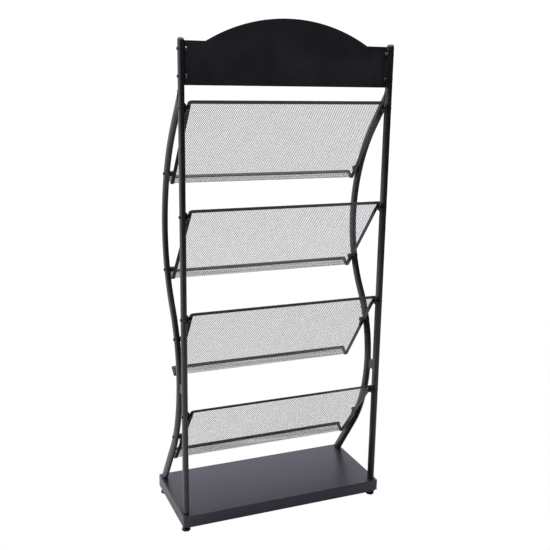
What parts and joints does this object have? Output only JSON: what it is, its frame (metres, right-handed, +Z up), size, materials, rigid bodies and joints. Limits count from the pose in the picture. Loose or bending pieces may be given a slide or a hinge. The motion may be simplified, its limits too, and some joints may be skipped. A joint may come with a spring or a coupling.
{
  "type": "brochure rack",
  "caption": "Free-standing brochure rack: sloping expanded-mesh pockets bolted between oval posts and S-bent front tubes, with an arched sheet header and a tray base on levelling feet.",
  "frame": {"origin": "on the floor, under the middle of the base", "axes": "+Z up; -Y is the front, towards which the pockets open and the front tubes bulge; +Y is the rear, where the straight posts stand; +X is the right-hand side of a person looking along +Y at the front"},
  "size_m": [0.627, 0.28, 1.419],
  "materials": {
    "black_powder_coat": "satin black powder coat",
    "header_powder_coat": "satin black powder coat",
    "base_powder_coat": "semi-gloss black powder coat",
    "mesh_powder_coat": "satin black powder coat on expanded steel",
    "black_zinc_screw": "black zinc",
    "zinc_plated_steel": "bright zinc plate",
    "black_plastic": "moulded, matt black"
  },
  "bodies": {
    "rack": {"base_tray": "base_powder_coat", "front_insert_left": "zinc_plated_steel", "front_insert_right": "zinc_plated_steel", "front_tube_left": "black_powder_coat", "front_tube_right": "black_powder_coat", "header_bolt_lower_left": "black_zinc_screw", "header_bolt_lower_right": "black_zinc_screw", "header_bolt_upper_left": "black_zinc_screw", "header_bolt_upper_right": "black_zinc_screw", "header_nut_lower_left": "zinc_plated_steel", "header_nut_lower_right": "zinc_plated_steel", "header_nut_upper_left": "zinc_plated_steel", "header_nut_upper_right": "zinc_plated_steel", "header_panel": "header_powder_coat", "jam_nut_front_left": "zinc_plated_steel", "jam_nut_front_right": "zinc_plated_steel", "jam_nut_rear_left": "zinc_plated_steel", "jam_nut_rear_right": "zinc_plated_steel", "post_cap_left": "black_plastic", "post_cap_right": "black_plastic", "post_insert_left": "zinc_plated_steel", "post_insert_right": "zinc_plated_steel", "rear_post_left": "black_powder_coat", "rear_post_right": "black_powder_coat", "shelf_bolt_1_front_left": "black_zinc_screw", "shelf_bolt_1_front_right": "black_zinc_screw", "shelf_bolt_1_rear_left": "black_zinc_screw", "shelf_bolt_1_rear_right": "black_zinc_screw", "shelf_bolt_2_front_left": "black_zinc_screw", "shelf_bolt_2_front_right": "black_zinc_screw", "shelf_bolt_2_rear_left": "black_zinc_screw", "shelf_bolt_2_rear_right": "black_zinc_screw", "shelf_bolt_3_front_left": "black_zinc_screw", "shelf_bolt_3_front_right": "black_zinc_screw", "shelf_bolt_3_rear_left": "black_zinc_screw", "shelf_bolt_3_rear_right": "black_zinc_screw", "shelf_bolt_4_front_left": "black_zinc_screw", "shelf_bolt_4_front_right": "black_zinc_screw", "shelf_bolt_4_rear_left": "black_zinc_screw", "shelf_bolt_4_rear_right": "black_zinc_screw", "shelf_frame_1": "black_powder_coat", "shelf_frame_2": "black_powder_coat", "shelf_frame_3": "black_powder_coat", "shelf_frame_4": "black_powder_coat", "shelf_mesh_1": "mesh_powder_coat", "shelf_mesh_2": "mesh_powder_coat", "shelf_mesh_3": "mesh_powder_coat", "shelf_mesh_4": "mesh_powder_coat", "tube_bridge_left": "black_powder_coat", "tube_bridge_right": "black_powder_coat"},
    "pad_rear_right": {"foot_pad_rear_right": "black_plastic"},
    "stem_rear_right": {"foot_stem_rear_right": "zinc_plated_steel"},
    "pad_rear_left": {"foot_pad_rear_left": "black_plastic"},
    "stem_rear_left": {"foot_stem_rear_left": "zinc_plated_steel"},
    "pad_front_right": {"foot_pad_front_right": "black_plastic"},
    "stem_front_right": {"foot_stem_front_right": "zinc_plated_steel"},
    "pad_front_left": {"foot_pad_front_left": "black_plastic"},
    "stem_front_left": {"foot_stem_front_left": "zinc_plated_steel"}
  },
  "joints": [
    {"name": "foot_height_rear_right", "type": "slide", "parent": "rack", "child": "pad_rear_right", "axis": [0, 0, -1], "range_m": [0, 0.008]},
    {"name": "foot_turn_rear_right", "type": "hinge", "parent": "pad_rear_right", "child": "stem_rear_right", "pos_m": [0.3, 0.116, 0.03], "axis": [0, 0, -1], "range_deg": [0, 2304]},
    {"name": "foot_height_rear_left", "type": "slide", "parent": "rack", "child": "pad_rear_left", "axis": [0, 0, -1], "range_m": [0, 0.008]},
    {"name": "foot_turn_rear_left", "type": "hinge", "parent": "pad_rear_left", "child": "stem_rear_left", "pos_m": [-0.3, 0.116, 0.03], "axis": [0, 0, -1], "range_deg": [0, 2304]},
    {"name": "foot_height_front_right", "type": "slide", "parent": "rack", "child": "pad_front_right", "axis": [0, 0, -1], "range_m": [0, 0.008]},
    {"name": "foot_turn_front_right", "type": "hinge", "parent": "pad_front_right", "child": "stem_front_right", "pos_m": [0.3, -0.11743, 0.03], "axis": [0, 0, -1], "range_deg": [0, 2304]},
    {"name": "foot_height_front_left", "type": "slide", "parent": "rack", "child": "pad_front_left", "axis": [0, 0, -1], "range_m": [0, 0.008]},
    {"name": "foot_turn_front_left", "type": "hinge", "parent": "pad_front_left", "child": "stem_front_left", "pos_m": [-0.3, -0.11743, 0.03], "axis": [0, 0, -1], "range_deg": [0, 2304]}
  ],
  "couplings": [
    {"joint": "foot_turn_rear_right", "follows": "foot_height_rear_right", "rad_per_m": 5026.5},
    {"joint": "foot_turn_rear_left", "follows": "foot_height_rear_left", "rad_per_m": 5026.5},
    {"joint": "foot_turn_front_right", "follows": "foot_height_front_right", "rad_per_m": 5026.5},
    {"joint": "foot_turn_front_left", "follows": "foot_height_front_left", "rad_per_m": 5026.5}
  ]
}
